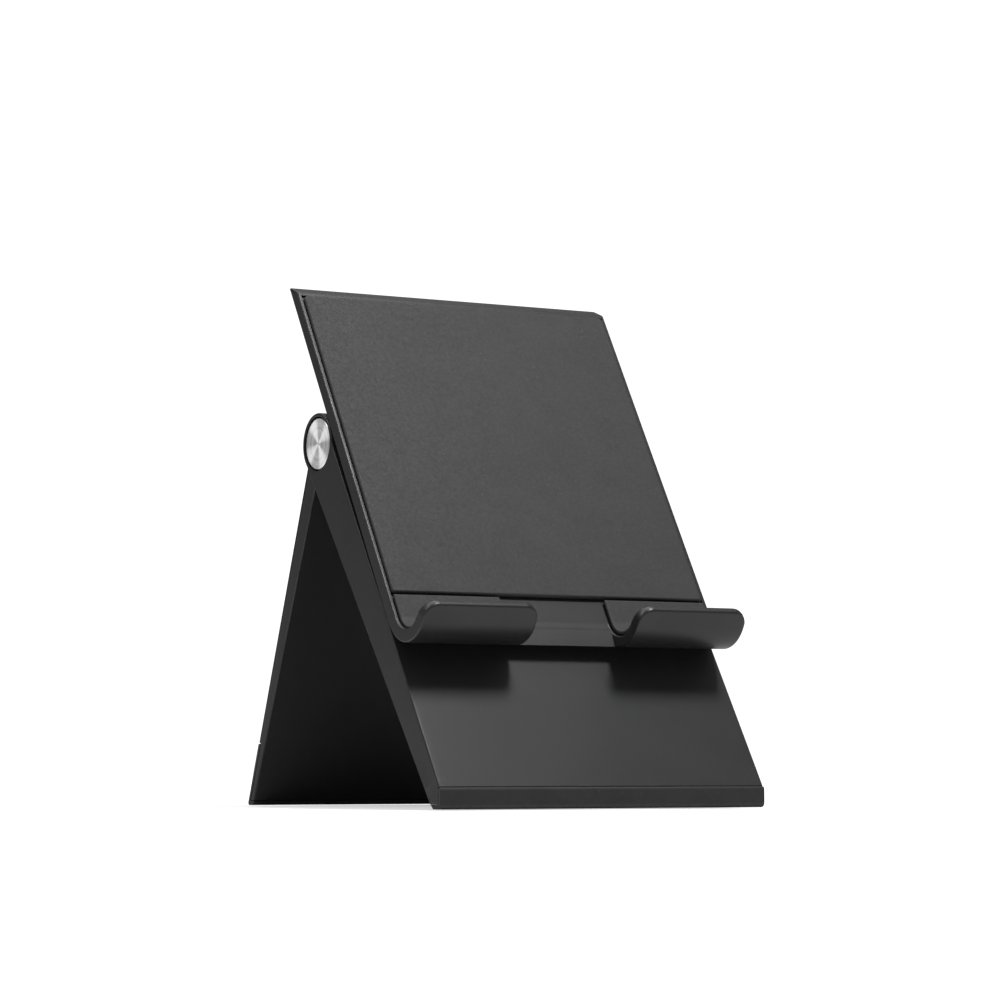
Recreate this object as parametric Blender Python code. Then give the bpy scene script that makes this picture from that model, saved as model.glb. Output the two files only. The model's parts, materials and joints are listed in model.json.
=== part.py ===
"""Folding desk stand for a phone.

Two legs and a cradle turn on one friction axle.  The front leg is a tray with two cheeks, the rear leg folds
into it, and the cradle is a plate whose lower edge turns forward into a hook.  The side views below are drawn
in millimetres around the hinge axis, each in a frame that leans with its own part, and are extruded along X.
X is the width, the hook points to -Y, and Z is up with the floor at 0.
"""

import math

import bmesh
import bpy
from mathutils import Matrix

MM = 0.001
GAP = 0.3            # clearance between neighbouring pieces
SEGMENTS = 36        # sides of a turned piece
ARC_STEP = 7.5       # degrees between the points of a drawn arc

# Hinge axis
HINGE_Y = 8.38
HINGE_Z = 76.65

# Front leg: front face and rear edge both lean forward, the wedge is thickest at the hinge
HALF_WIDTH = 38.8
FRONT_LEAN = 32.9
FRONT_FACE = 5.3     # distance of the front face from the hinge axis
REAR_EDGE = 6.47     # distance of the cheeks' rear edge from the hinge axis
WEDGE = 4.2          # degrees between front face and rear edge
WALL = 2.0
WALL_TOP = 7.4       # the front wall starts this far below the axis
HEAD_RADIUS = 6.55
BOSS_INNER = 32.8
FOOT_BLOCK = 86.2    # the tray ends this far below the axis
RIB_XS = (-24.0, 0.0, 24.0)

# Rear leg: nests between the cheeks
REAR_LEAN = 21.16
REAR_OUTER = 6.4
REAR_INNER_TOP = 1.3
REAR_INNER_FOOT = 4.1
REAR_HALF_WIDTH = HALF_WIDTH - WALL - GAP
EAR_RADIUS = 5.0
EAR_INNER, EAR_OUTER = 24.0, 30.3
REAR_STRIP_PROUD = 0.2
REAR_STRIP_TOP = 13.5

# Cradle plate and hook
RECLINE = 31.5
PLATE_REAR = 6.85
PLATE_THICK = 2.8
PLATE_TOP = 36.4
TOP_BEVEL = 3.0      # the front face leans back to a thin top edge over this height
TOP_LAND = 0.4       # thickness left at the top edge
HOOK_DROP = 50.5     # the hook's bend starts this far below the axis
HOOK_RADIUS = 8.1
HOOK_TURN = 119.0
LIP_LENGTH = 4.0
LIP_TIP_THICK = 2.2
LIP_CORNER = 3.2
SLOT_HALF_WIDTH = 12.2
PAD_THICK = 0.8
PAD_RECESS = 0.5
PAD_BORDER = 1.0
PAD_TOP = PLATE_TOP - 4.1
PAD_SPLIT = 44.6     # the back pad ends and the hook pads start here, below the axis

# Axle and the pieces threaded on it, as distances from the middle
AXLE_RADIUS = 2.0
AXLE_HALF = 37.0
AXLE_CHAMFER = 0.3
BORE = AXLE_RADIUS + GAP
CAP_RADIUS = 5.5
CAP_FROM, CAP_TO = 37.7, 38.5     # the disc sits a little below the cheek's face
NUT_FLATS = 7.0
NUT_FROM, NUT_TO = 35.4, 37.2
WASHER_FROM, WASHER_TO = 34.6, 35.1
SEAT = 34.3          # floor of the nut's counterbore
WAVE_MIDDLE = 32.1
BUSH_FLANGE = 30.6
BUSH_END = 31.4
SHIM_FROM, SHIM_TO = 22.9, 23.7
LUG_INNER, LUG_OUTER = 14.0, 22.6
SLEEVE_HALF = LUG_INNER - GAP

# Bracket screws, driven from the front and hidden by the back pad
SCREW_XS = (16.2, 20.4)
SCREW_Z = 12.4
SCREW_HEAD_RADIUS = 1.7
SCREW_RADIUS = 0.8

PLASTIC = ("matte_plastic", (0.025, 0.025, 0.027), 0.5, 0.0)
RUBBER = ("silicone_rubber", (0.04, 0.04, 0.042), 0.75, 0.0)
ALUMINIUM = ("spun_aluminium", (0.8, 0.8, 0.8), 0.28, 1.0)
STEEL = ("bright_steel", (0.55, 0.55, 0.56), 0.32, 1.0)
NYLON = ("white_nylon", (0.72, 0.7, 0.64), 0.5, 0.0)
ZINC = ("cast_zinc", (0.36, 0.36, 0.37), 0.45, 1.0)


def clear_scene():
    for obj in list(bpy.data.objects):
        bpy.data.objects.remove(obj, do_unlink=True)


def material(finish):
    """One Principled material per object, made from a (name, colour, roughness, metallic) finish."""
    name, colour, roughness, metallic = finish
    mat = bpy.data.materials.new(name)
    mat.use_nodes = True
    shader = mat.node_tree.nodes["Principled BSDF"]
    shader.inputs["Base Color"].default_value = (*colour, 1.0)
    shader.inputs["Roughness"].default_value = roughness
    shader.inputs["Metallic"].default_value = metallic
    return mat


def pivot(name, lean):
    """An empty on the hinge axis; a positive lean swings what hangs below it towards +Y."""
    empty = bpy.data.objects.new(name, None)
    empty.location = (0.0, HINGE_Y * MM, HINGE_Z * MM)
    empty.rotation_euler = (math.radians(lean), 0.0, 0.0)
    bpy.context.scene.collection.objects.link(empty)
    return empty


def place(name, bm, parent, finish=None):
    """Turn a bmesh into an object under its pivot; without a finish it is a hidden cutter or an addition."""
    bmesh.ops.recalc_face_normals(bm, faces=bm.faces)
    mesh = bpy.data.meshes.new(name)
    bm.to_mesh(mesh)
    bm.free()
    mesh.shade_smooth()
    mesh.set_sharp_from_angle(angle=math.radians(32))
    obj = bpy.data.objects.new(name, mesh)
    obj.parent = parent
    bpy.context.scene.collection.objects.link(obj)
    if finish:
        mesh.materials.append(material(finish))
    else:
        obj.hide_render = True
        obj.display_type = "WIRE"
    return obj


def prism(name, outline, x_low, x_high, parent, finish=None):
    """Extrude a closed side view of (y, z) points along X."""
    bm = bmesh.new()
    face = bm.faces.new([bm.verts.new((x_low * MM, y * MM, z * MM)) for y, z in outline])
    made = bmesh.ops.extrude_face_region(bm, geom=[face])["geom"]
    moved = [v for v in made if isinstance(v, bmesh.types.BMVert)]
    bmesh.ops.translate(bm, verts=moved, vec=((x_high - x_low) * MM, 0.0, 0.0))
    return place(name, bm, parent, finish)


def turned(name, profile, parent, finish=None, side=1.0, steps=SEGMENTS, about="X", at=(0.0, 0.0, 0.0)):
    """Spin a profile of (along, radius) points about X, or about Y, through the point at.

    A profile that starts and ends on the axis closes there; any other profile is a ring."""
    bm = bmesh.new()
    points = [bm.verts.new((side * along * MM, 0.0, radius * MM)) for along, radius in profile]
    solid = profile[0][1] == 0.0 and profile[-1][1] == 0.0
    ends = points[1:] if solid else points[1:] + points[:1]
    edges = [bm.edges.new(pair) for pair in zip(points, ends)]
    bmesh.ops.spin(bm, geom=points + edges, cent=(0, 0, 0), axis=(1, 0, 0), angle=2 * math.pi,
                   steps=steps, use_merge=True)
    bmesh.ops.remove_doubles(bm, verts=bm.verts, dist=1e-7)
    if about == "Y":
        bmesh.ops.rotate(bm, verts=bm.verts, cent=(0, 0, 0), matrix=Matrix.Rotation(-math.pi / 2, 3, "Z"))
    bmesh.ops.translate(bm, verts=bm.verts, vec=[c * MM for c in at])
    return place(name, bm, parent, finish)


def tube(inner, outer, low, high):
    """Profile of a plain ring between two distances along its axis."""
    return [(low, inner), (high, inner), (high, outer), (low, outer)]


def rod(radius, low, high, chamfer=0.0):
    """Profile of a solid round bar with chamfered ends."""
    if chamfer == 0.0:
        return [(low, 0.0), (low, radius), (high, radius), (high, 0.0)]
    return [(low, 0.0), (low, radius - chamfer), (low + chamfer, radius),
            (high - chamfer, radius), (high, radius - chamfer), (high, 0.0)]


def boolean(target, other, operation="DIFFERENCE"):
    mod = target.modifiers.new(other.name, "BOOLEAN")
    mod.operation = operation
    mod.solver = "EXACT"
    mod.object = other


def arc(centre, radius, start, end):
    """Points on an arc, angles in degrees from +Y towards +Z."""
    count = max(2, math.ceil(abs(end - start) / ARC_STEP))
    turns = [math.radians(start + (end - start) * i / count) for i in range(count + 1)]
    return [(centre[0] + radius * math.cos(t), centre[1] + radius * math.sin(t)) for t in turns]


def leaning(y, z, lean):
    """A world side-view point, y from the hinge and z from the floor, in a frame that leans about the hinge."""
    turn, drop = math.radians(lean), z - HINGE_Z
    return (y * math.cos(turn) + drop * math.sin(turn), drop * math.cos(turn) - y * math.sin(turn))


def at_height(local_y, height, lean):
    """The point of a leaning frame that has this local y and lies at a height above the floor."""
    turn = math.radians(lean)
    return (local_y, (height - HINGE_Z - local_y * math.sin(turn)) / math.cos(turn))


# ---------------------------------------------------------------- front leg

FOOT_FRONT = -53.5   # world y of the foot's upright nose, from the hinge
HEEL_HEIGHT = 1.8    # the sole's rear edge is cut off from here down
HEEL_Y = -50.4       # world y, from the hinge, where that cut reaches the floor
STRIP_THICK = 0.9
STRIP_HEIGHT = 4.4
STRIP_PROUD = 0.1


def front_local(y, z):
    return leaning(y, z, -FRONT_LEAN)


def above_toe(local_y, y):
    """The point of the front leg's frame that has this local y and this world y from the hinge."""
    turn = math.radians(-FRONT_LEAN)
    return (local_y, (local_y * math.cos(turn) - y) / math.sin(turn))


def heel(height):
    """The cut at the sole's rear, from the wedge's rear edge down to the floor, at a height above the floor."""
    turn, wedge = math.radians(-FRONT_LEAN), math.radians(WEDGE)
    edge = REAR_EDGE / math.cos(wedge)
    z = (HEEL_HEIGHT - HINGE_Z - edge * math.sin(turn)) / (math.cos(turn) + math.tan(wedge) * math.sin(turn))
    upper, lower = (edge + z * math.tan(wedge), z), front_local(HEEL_Y, 0.0)
    share = height / HEEL_HEIGHT
    return tuple(low + (high - low) * share for high, low in zip(upper, lower))


def strip_top():
    """Height, in the leg's frame, where the rubber strip's front flange starts."""
    return at_height(-FRONT_FACE, STRIP_HEIGHT, -FRONT_LEAN)[1]


def front_leg_outline():
    """Wedge with a round head, rebated at the front of the foot for the rubber strip."""
    front_angle = math.degrees(math.acos(FRONT_FACE / HEAD_RADIUS))
    rear_angle = math.degrees(math.acos(REAR_EDGE / HEAD_RADIUS))
    head = arc((0.0, 0.0), HEAD_RADIUS, 180.0 + front_angle, -(WEDGE + rear_angle))
    sole = STRIP_THICK + GAP
    deep, toe = -FRONT_FACE + sole, FOOT_FRONT + sole
    foot = [heel(HEEL_HEIGHT), heel(sole), front_local(toe, sole), above_toe(deep, toe)]
    return head + foot + [(deep, strip_top() + GAP), (-FRONT_FACE, strip_top() + GAP)]


def front_leg(frame):
    leg = prism("front_leg", front_leg_outline(), -HALF_WIDTH, HALF_WIDTH, frame, PLASTIC)
    inner = -FRONT_FACE + WALL
    span = HALF_WIDTH - WALL
    tray = [(inner, 12.0), (inner, -FOOT_BLOCK), (14.0, -FOOT_BLOCK), (14.0, 12.0)]
    boolean(leg, prism("tray_cutter", tray, -span, span, frame))
    over = [(-12.0, 12.0), (-12.0, -WALL_TOP), (inner + 0.5, -WALL_TOP), (inner + 0.5, 12.0)]
    boolean(leg, prism("over_wall_cutter", over, -span, span, frame))
    for side, label in ((-1.0, "left"), (1.0, "right")):
        boss = turned(f"boss_{label}", rod(HEAD_RADIUS - 0.05, BOSS_INNER, HALF_WIDTH - 1.0), frame, side=side)
        boolean(leg, boss, "UNION")
    for number, x in enumerate(RIB_XS):
        rib = [(inner - 0.5, -WALL_TOP - 3.0), (inner - 0.5, -FOOT_BLOCK - 0.5),
               (inner + 1.4, -FOOT_BLOCK - 0.5), (inner + 1.4, -WALL_TOP - 5.0)]
        boolean(leg, prism(f"rib_{number}", rib, x - 0.5, x + 0.5, frame), "UNION")
    for side, label in ((-1.0, "left"), (1.0, "right")):
        seat = [(30.0, 0.0), (30.0, BORE), (SEAT, BORE), (SEAT, 4.4), (CAP_FROM - GAP, 4.4),
                (CAP_FROM - GAP, CAP_RADIUS + GAP), (42.0, CAP_RADIUS + GAP), (42.0, 0.0)]
        boolean(leg, turned(f"seat_cutter_{label}", seat, frame, side=side))
    return leg


def front_foot_strip(frame):
    """Rubber strip that wraps the toe: a short flange on the face, an upright nose, and a sole."""
    face, inside, toe = -FRONT_FACE - STRIP_PROUD, -FRONT_FACE + STRIP_THICK, FOOT_FRONT + STRIP_THICK
    top = strip_top()
    flange = [(face + 0.1, top), (face, top - 0.2), above_toe(face, FOOT_FRONT + 0.12)]
    round_toe = ((0.0, 3.4), (0.0, 1.1), (0.25, 0.45), (0.6, 0.12), (1.0, 0.0))
    nose = [front_local(FOOT_FRONT + y, z) for y, z in round_toe]
    sole = [heel(0.0), heel(STRIP_THICK), front_local(toe, STRIP_THICK), above_toe(inside, toe), (inside, top)]
    return prism("front_foot_strip", flange + nose + sole, -HALF_WIDTH, HALF_WIDTH, frame, RUBBER)


# ---------------------------------------------------------------- rear leg


def on_floor(local_y, height):
    """The point of the rear leg's frame that has this local y and lies at a height above the floor."""
    return at_height(local_y, height, REAR_LEAN)


def rear_leg(frame):
    """Tapered panel, cut round the boss at its ends and deeper between the ears that carry the axle."""
    sole = STRIP_THICK + GAP
    rebate = REAR_OUTER + REAR_STRIP_PROUD - STRIP_THICK - GAP
    step = on_floor(REAR_OUTER, REAR_STRIP_TOP + GAP)
    panel = [(REAR_INNER_TOP, 0.0), (REAR_OUTER, 0.0), step, (rebate, step[1]), on_floor(rebate, sole),
             on_floor(REAR_INNER_FOOT, sole)]
    leg = prism("rear_leg", panel, -REAR_HALF_WIDTH, REAR_HALF_WIDTH, frame, PLASTIC)
    boolean(leg, turned("boss_clearance", rod(HEAD_RADIUS + 0.35, -40.0, 40.0), frame))
    boolean(leg, turned("lug_clearance", rod(9.0, -EAR_INNER, EAR_INNER), frame))
    ear = arc((0.0, 0.0), EAR_RADIUS, 20.0, 215.0) + [(REAR_INNER_TOP + 0.4, -14.0), (REAR_OUTER - 0.2, -14.0)]
    for side, label in ((-1.0, "left"), (1.0, "right")):
        low, high = sorted((side * EAR_INNER, side * EAR_OUTER))
        boolean(leg, prism(f"ear_{label}", ear, low, high, frame), "UNION")
    boolean(leg, turned("bush_bore", rod(3.3, -33.0, 33.0), frame))
    return leg


def rear_foot_strip(frame):
    """Rubber strip on the rear leg's outer face that turns under its lower edge."""
    outer = REAR_OUTER + REAR_STRIP_PROUD
    inner = outer - STRIP_THICK
    top = on_floor(outer, REAR_STRIP_TOP)[1]
    outline = [(inner, top), (outer - 0.3, top), (outer, top - 0.3), on_floor(outer, 0.0),
               on_floor(REAR_INNER_FOOT, 0.0), on_floor(REAR_INNER_FOOT, STRIP_THICK),
               on_floor(inner, STRIP_THICK)]
    return prism("rear_foot_strip", outline, -REAR_HALF_WIDTH, REAR_HALF_WIDTH, frame, RUBBER)


# ---------------------------------------------------------------- cradle

PLATE_FRONT = PLATE_REAR + PLATE_THICK
HOOK_CENTRE = (-(PLATE_REAR + HOOK_RADIUS), -HOOK_DROP)


def hook_point(radius, turn, beyond=0.0):
    """A point of the hook: turn is 0 where the bend leaves the plate, beyond runs straight on from there."""
    t = math.radians(turn)
    return (HOOK_CENTRE[0] + radius * math.cos(t) - beyond * math.sin(t),
            HOOK_CENTRE[1] - radius * math.sin(t) - beyond * math.cos(t))


def bend(radius, start, end):
    """The hook's bend between two turns, as side-view points."""
    return arc(HOOK_CENTRE, radius, -start, -end)


def cradle_outline():
    """Plate with a bevelled top, the bend, and a lip that thins towards a rounded tip."""
    inside = HOOK_RADIUS - PLATE_THICK
    outer = bend(HOOK_RADIUS, 0.0, HOOK_TURN)
    inner = bend(inside, HOOK_TURN, 0.0)
    tip_inner = HOOK_RADIUS - LIP_TIP_THICK
    tip = [hook_point(HOOK_RADIUS, HOOK_TURN, LIP_LENGTH - 0.8),
           hook_point(HOOK_RADIUS - 0.3, HOOK_TURN, LIP_LENGTH - 0.2),
           hook_point((HOOK_RADIUS + tip_inner) / 2, HOOK_TURN, LIP_LENGTH),
           hook_point(tip_inner + 0.3, HOOK_TURN, LIP_LENGTH - 0.2),
           hook_point(tip_inner, HOOK_TURN, LIP_LENGTH - 0.8)]
    top = [(-PLATE_FRONT, PLATE_TOP - TOP_BEVEL), (-PLATE_REAR - TOP_LAND, PLATE_TOP), (-PLATE_REAR, PLATE_TOP)]
    return outer + tip + inner + top


def lip_cutter(name, x_edge, toward, frame):
    """Rounds one end of the lip: the corner left over outside a quarter circle, driven through the lip."""
    bm = bmesh.new()
    turns = [math.radians(90.0 * i / 8) for i in range(9)]
    corner = [(x_edge + toward * LIP_CORNER * (math.cos(t) - 1.0), LIP_CORNER * (math.sin(t) - 1.0)) for t in turns]
    corner += [(corner[-1][0], 1.5), (x_edge + toward * 1.5, 1.5), (x_edge + toward * 1.5, corner[0][1])]
    rings = []
    for radius in (HOOK_RADIUS + 2.0, HOOK_RADIUS - PLATE_THICK - 1.5):
        ring = [hook_point(radius, HOOK_TURN, LIP_LENGTH + along) for _, along in corner]
        rings.append([bm.verts.new((x * MM, y * MM, z * MM)) for (x, _), (y, z) in zip(corner, ring)])
    bm.faces.new(rings[0])
    bm.faces.new(rings[1])
    for i, _ in enumerate(corner):
        j = (i + 1) % len(corner)
        bm.faces.new((rings[0][i], rings[0][j], rings[1][j], rings[1][i]))
    return place(name, bm, frame)


def cradle(frame):
    body = prism("cradle", cradle_outline(), -HALF_WIDTH, HALF_WIDTH, frame, PLASTIC)
    floor = PLATE_FRONT - PAD_RECESS
    recess_end = HOOK_TURN - 8.0
    top = PAD_TOP + GAP
    recess = ([(-floor, top), (-floor, -HOOK_DROP)] + bend(HOOK_RADIUS - PLATE_THICK + PAD_RECESS, 0.0, recess_end)[1:]
              + bend(HOOK_RADIUS - PLATE_THICK - 0.6, recess_end, 0.0) + [(-PLATE_FRONT - 0.6, top)])
    reach = HALF_WIDTH - PAD_BORDER + GAP
    boolean(body, prism("pad_recess", recess, -reach, reach, frame))
    slot = [(-PLATE_FRONT, -HOOK_DROP + 5.0), (-PLATE_FRONT, -70.0), (-32.0, -70.0), (-32.0, -HOOK_DROP + 5.0)]
    boolean(body, prism("cable_slot", slot, -SLOT_HALF_WIDTH, SLOT_HALF_WIDTH, frame))
    edges = ((HALF_WIDTH, 1.0), (-HALF_WIDTH, -1.0), (SLOT_HALF_WIDTH, -1.0), (-SLOT_HALF_WIDTH, 1.0))
    for number, (x_edge, toward) in enumerate(edges):
        boolean(body, lip_cutter(f"lip_corner_{number}", x_edge, toward, frame))
    hole = [(5.0, 0.0), (5.0, SCREW_RADIUS + GAP), (7.85, SCREW_RADIUS + GAP),
            (7.85, SCREW_HEAD_RADIUS + GAP), (11.0, SCREW_HEAD_RADIUS + GAP), (11.0, 0.0)]
    for number, x in enumerate(screw_places()):
        boolean(body, screw_shape(f"screw_hole_{number}", hole, x, frame))
    return body


def screw_places():
    return [side * x for side in (-1.0, 1.0) for x in SCREW_XS]


def screw_shape(name, profile, x, frame, finish=None):
    """A piece turned about the screw's axis, its distances measured from the hinge axis towards the front."""
    return turned(name, profile, frame, finish, steps=18, about="Y", at=(x, 0.0, SCREW_Z))


def back_pad(frame):
    low = -(PLATE_FRONT - PAD_RECESS + GAP)
    reach = HALF_WIDTH - PAD_BORDER
    outline = [(low, PAD_TOP), (low, -PAD_SPLIT), (low - PAD_THICK, -PAD_SPLIT), (low - PAD_THICK, PAD_TOP)]
    return prism("back_pad", outline, -reach, reach, frame, RUBBER)


def hook_pad(label, side, frame):
    """Lines the bend on one side of the cable slot."""
    outside = HOOK_RADIUS - PLATE_THICK + PAD_RECESS - GAP
    end = HOOK_TURN - 12.0
    outline = ([(HOOK_CENTRE[0] + outside, -PAD_SPLIT - 0.5)] + bend(outside, 0.0, end)
               + bend(outside - PAD_THICK, end, 0.0) + [(HOOK_CENTRE[0] + outside - PAD_THICK, -PAD_SPLIT - 0.5)])
    low, high = sorted((side * (SLOT_HALF_WIDTH + 0.6), side * (HALF_WIDTH - PAD_BORDER)))
    return prism(f"hook_pad_{label}", outline, low, high, frame, RUBBER)


def hinge_bracket(label, side, frame):
    """Die-cast lug on the axle with a flange screwed to the back of the plate."""
    back, face = -(PLATE_REAR - GAP), -4.35
    outline = [(back, -5.0), (back, 16.0), (face, 16.0), (face, 9.0)] + arc((0.0, 0.0), EAR_RADIUS, 75.0, -90.0)
    low, high = sorted((side * LUG_INNER, side * LUG_OUTER))
    bracket = prism(f"hinge_bracket_{label}", outline[::-1], low, high, frame, ZINC)
    boolean(bracket, turned(f"lug_bore_{label}", rod(BORE, -30.0, 30.0), frame))
    for number, x in enumerate(SCREW_XS):
        hole = rod(SCREW_RADIUS + GAP, 2.0, 10.0)
        boolean(bracket, screw_shape(f"tapped_hole_{label}_{number}", hole, side * x, frame))
    return bracket


def bracket_screw(number, x, frame):
    head, foot = 8.95, 4.6
    profile = [(foot, 0.0), (foot, SCREW_RADIUS - 0.2), (foot + 0.4, SCREW_RADIUS), (head - 0.8, SCREW_RADIUS),
               (head - 0.8, SCREW_HEAD_RADIUS), (head - 0.2, SCREW_HEAD_RADIUS), (head, SCREW_HEAD_RADIUS - 0.3),
               (head, 0.75), (head - 0.5, 0.6), (head - 0.5, 0.0)]
    return screw_shape(f"bracket_screw_{number}", profile, x, frame, STEEL)


# ---------------------------------------------------------------- axle and friction stack


def cap_disc(label, side, frame):
    """Spun metal cap with a shallow dish and a chamfered rim."""
    profile = [(CAP_FROM, 0.0), (CAP_FROM, CAP_RADIUS - 0.2), (CAP_FROM + 0.2, CAP_RADIUS),
               (CAP_TO - 0.25, CAP_RADIUS), (CAP_TO, CAP_RADIUS - 0.25), (CAP_TO, CAP_RADIUS - 0.7),
               (CAP_TO - 0.08, CAP_RADIUS - 0.9), (CAP_TO - 0.08, 0.0)]
    return turned(f"cap_disc_{label}", profile, frame, ALUMINIUM, side)


def lock_nut(label, side, frame):
    """Thin hexagon nut with chamfered corners."""
    corner = NUT_FLATS / math.sqrt(3.0)
    nut = turned(f"lock_nut_{label}", rod(corner, NUT_FROM, NUT_TO), frame, STEEL, side, steps=6)
    boolean(nut, turned(f"nut_bore_{label}", rod(BORE, 30.0, 45.0), frame, side=side))
    return nut


def wave_washer(label, side, frame):
    """Spring washer: a thin ring whose height follows three waves around the axle."""
    bm = bmesh.new()
    inner, outer, thick, waves, swing = BORE + 0.1, 4.2, 0.35, 3, 0.17
    rings = []
    for i in range(SEGMENTS):
        t = 2 * math.pi * i / SEGMENTS
        middle = WAVE_MIDDLE + swing * math.cos(waves * t)
        section = [(middle - thick / 2, inner), (middle + thick / 2, inner),
                   (middle + thick / 2, outer), (middle - thick / 2, outer)]
        rings.append([bm.verts.new((side * x * MM, r * math.cos(t) * MM, r * math.sin(t) * MM)) for x, r in section])
    for i, ring in enumerate(rings):
        following = rings[(i + 1) % SEGMENTS]
        for j in range(4):
            k = (j + 1) % 4
            bm.faces.new((ring[j], ring[k], following[k], following[j]))
    return place(f"wave_washer_{label}", bm, frame, STEEL)


def friction_bush(label, side, frame):
    """Flanged bush in the rear leg's ear."""
    profile = [(EAR_INNER + GAP, BORE), (BUSH_END, BORE), (BUSH_END, 4.4), (BUSH_FLANGE, 4.4),
               (BUSH_FLANGE, 3.0), (EAR_INNER + GAP, 3.0)]
    return turned(f"friction_bush_{label}", profile, frame, NYLON, side)


def hinge_stack(front_frame, rear_frame, cradle_frame):
    turned("hinge_axle", rod(AXLE_RADIUS, -AXLE_HALF, AXLE_HALF, AXLE_CHAMFER), front_frame, STEEL)
    turned("axle_sleeve", tube(BORE, 3.6, -SLEEVE_HALF, SLEEVE_HALF), cradle_frame, NYLON)
    for side, label in ((-1.0, "left"), (1.0, "right")):
        cap_disc(label, side, front_frame)
        lock_nut(label, side, front_frame)
        turned(f"flat_washer_{label}", tube(BORE, 4.0, WASHER_FROM, WASHER_TO), front_frame, STEEL, side)
        wave_washer(label, side, front_frame)
        friction_bush(label, side, rear_frame)
        turned(f"friction_shim_{label}", tube(BORE, 4.4, SHIM_FROM, SHIM_TO), cradle_frame, NYLON, side)
        hinge_bracket(label, side, cradle_frame)


def main():
    clear_scene()
    front_frame = pivot("front_leg_frame", -FRONT_LEAN)
    rear_frame = pivot("rear_leg_pivot", REAR_LEAN)
    cradle_frame = pivot("cradle_pivot", -RECLINE)
    front_leg(front_frame)
    front_foot_strip(front_frame)
    rear_leg(rear_frame)
    rear_foot_strip(rear_frame)
    cradle(cradle_frame)
    back_pad(cradle_frame)
    for side, label in ((-1.0, "left"), (1.0, "right")):
        hook_pad(label, side, cradle_frame)
    hinge_stack(front_frame, rear_frame, cradle_frame)
    for number, x in enumerate(screw_places(), start=1):
        bracket_screw(number, x, cradle_frame)


main()
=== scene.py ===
# %% [markdown]
# # A folding phone stand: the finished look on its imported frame
#
# The real stand is injection moulded in dark, finely textured plastic. A front leg shaped like a shallow
# tray and a rear leg that folds into it carry a reclined plate, whose lower edge turns forward into a hook
# for the phone. Silicone pads line the plate and the hook, rubber strips wrap the feet, and a spun
# aluminium disc closes each end of the friction hinge.
#
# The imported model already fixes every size, place and movement. This script builds a finer surface for each
# piece that shows, and gives every piece, old or new, a procedural finish.

# %% Load the frame
import json

import bmesh
import bpy
import numpy as np
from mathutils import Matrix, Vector


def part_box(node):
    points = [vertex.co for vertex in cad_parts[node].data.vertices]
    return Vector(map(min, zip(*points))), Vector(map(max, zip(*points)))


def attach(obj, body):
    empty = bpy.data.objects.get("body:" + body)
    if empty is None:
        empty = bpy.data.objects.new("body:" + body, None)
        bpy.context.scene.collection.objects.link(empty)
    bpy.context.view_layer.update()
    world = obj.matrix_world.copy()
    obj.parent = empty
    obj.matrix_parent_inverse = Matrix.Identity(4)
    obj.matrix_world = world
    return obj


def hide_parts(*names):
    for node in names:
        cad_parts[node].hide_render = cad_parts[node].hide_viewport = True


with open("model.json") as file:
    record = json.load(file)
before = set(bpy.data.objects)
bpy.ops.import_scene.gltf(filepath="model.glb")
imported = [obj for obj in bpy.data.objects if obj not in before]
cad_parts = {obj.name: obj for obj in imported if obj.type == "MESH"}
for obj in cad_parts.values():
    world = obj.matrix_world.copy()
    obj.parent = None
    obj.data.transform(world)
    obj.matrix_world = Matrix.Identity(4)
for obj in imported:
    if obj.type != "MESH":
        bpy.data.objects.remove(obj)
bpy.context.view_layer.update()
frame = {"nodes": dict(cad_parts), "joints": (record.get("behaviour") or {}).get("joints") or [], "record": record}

MM = 0.001
SIDES = {"left": -1.0, "right": 1.0}

# %% [markdown]
# ## Three leaning side views
#
# Both legs and the cradle are the same shape all the way across, so each is easiest to draw from the side,
# upright, with the hinge axle at the origin. Leaning that drawing about the axle puts it where it stands.
# The axle's place comes from the frame's own hinge, and the recline from the mount that the phone rests on.

# %% The axle and the three leans
AXLE = np.array(frame["joints"][0]["pos_m"][1:]) / MM
rest_axis = next(m["axis"] for m in frame["record"]["mounts"] if m["name"] == "phone_rest")
RECLINE = -np.degrees(np.arctan2(rest_axis[2], -rest_axis[1]))
FRONT_LEAN = -32.9
REAR_LEAN = 21.16


def reach_of(node):
    """How far a CAD node reaches sideways from the middle plane, in millimetres."""
    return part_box(node)[1].x / MM


HALF_WIDTH = reach_of("cradle")
print(f"axle at y {AXLE[0]:.2f}, z {AXLE[1]:.2f} mm; cradle leans {RECLINE:.1f} degrees")


def leaned(points, lean):
    """Turns side-view points about the axle: y cos - z sin and y sin + z cos, then adds the axle's place."""
    turn = np.radians(lean)
    y, z = points[..., 0], points[..., 1]
    return np.stack([y * np.cos(turn) - z * np.sin(turn), y * np.sin(turn) + z * np.cos(turn)], -1) + AXLE


def upright(y, height, lean):
    """The reverse: a point y from the axle and a height above the floor, in the drawing that leans."""
    turn, drop = np.radians(lean), height - AXLE[1]
    return np.array([y * np.cos(turn) + drop * np.sin(turn), drop * np.cos(turn) - y * np.sin(turn)])


def at_height(y, height, lean):
    """The point of a leaning drawing with this y that stands at a height above the floor."""
    turn = np.radians(lean)
    return np.array([y, (height - AXLE[1] - y * np.sin(turn)) / np.cos(turn)])


# %% [markdown]
# ## Outlines with rounded corners
#
# No edge of a moulded piece is perfectly sharp, and the thin highlight along a rounded one is what makes a
# dark object readable. So an outline here is a chain of arcs and of corners that each name their radius.
# Every point also carries a third number, 1 in the middle of a rounded corner and 0 elsewhere, which the
# finishes use later to polish what hands and tables rub.

# %% Arcs, corners and insets
def on_circle(centre, radius, t, edge):
    """Points at centre + radius (cos t, sin t) for angles t in radians, with their third number."""
    return np.stack([centre[0] + radius * np.cos(t), centre[1] + radius * np.sin(t), edge], -1)


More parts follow.
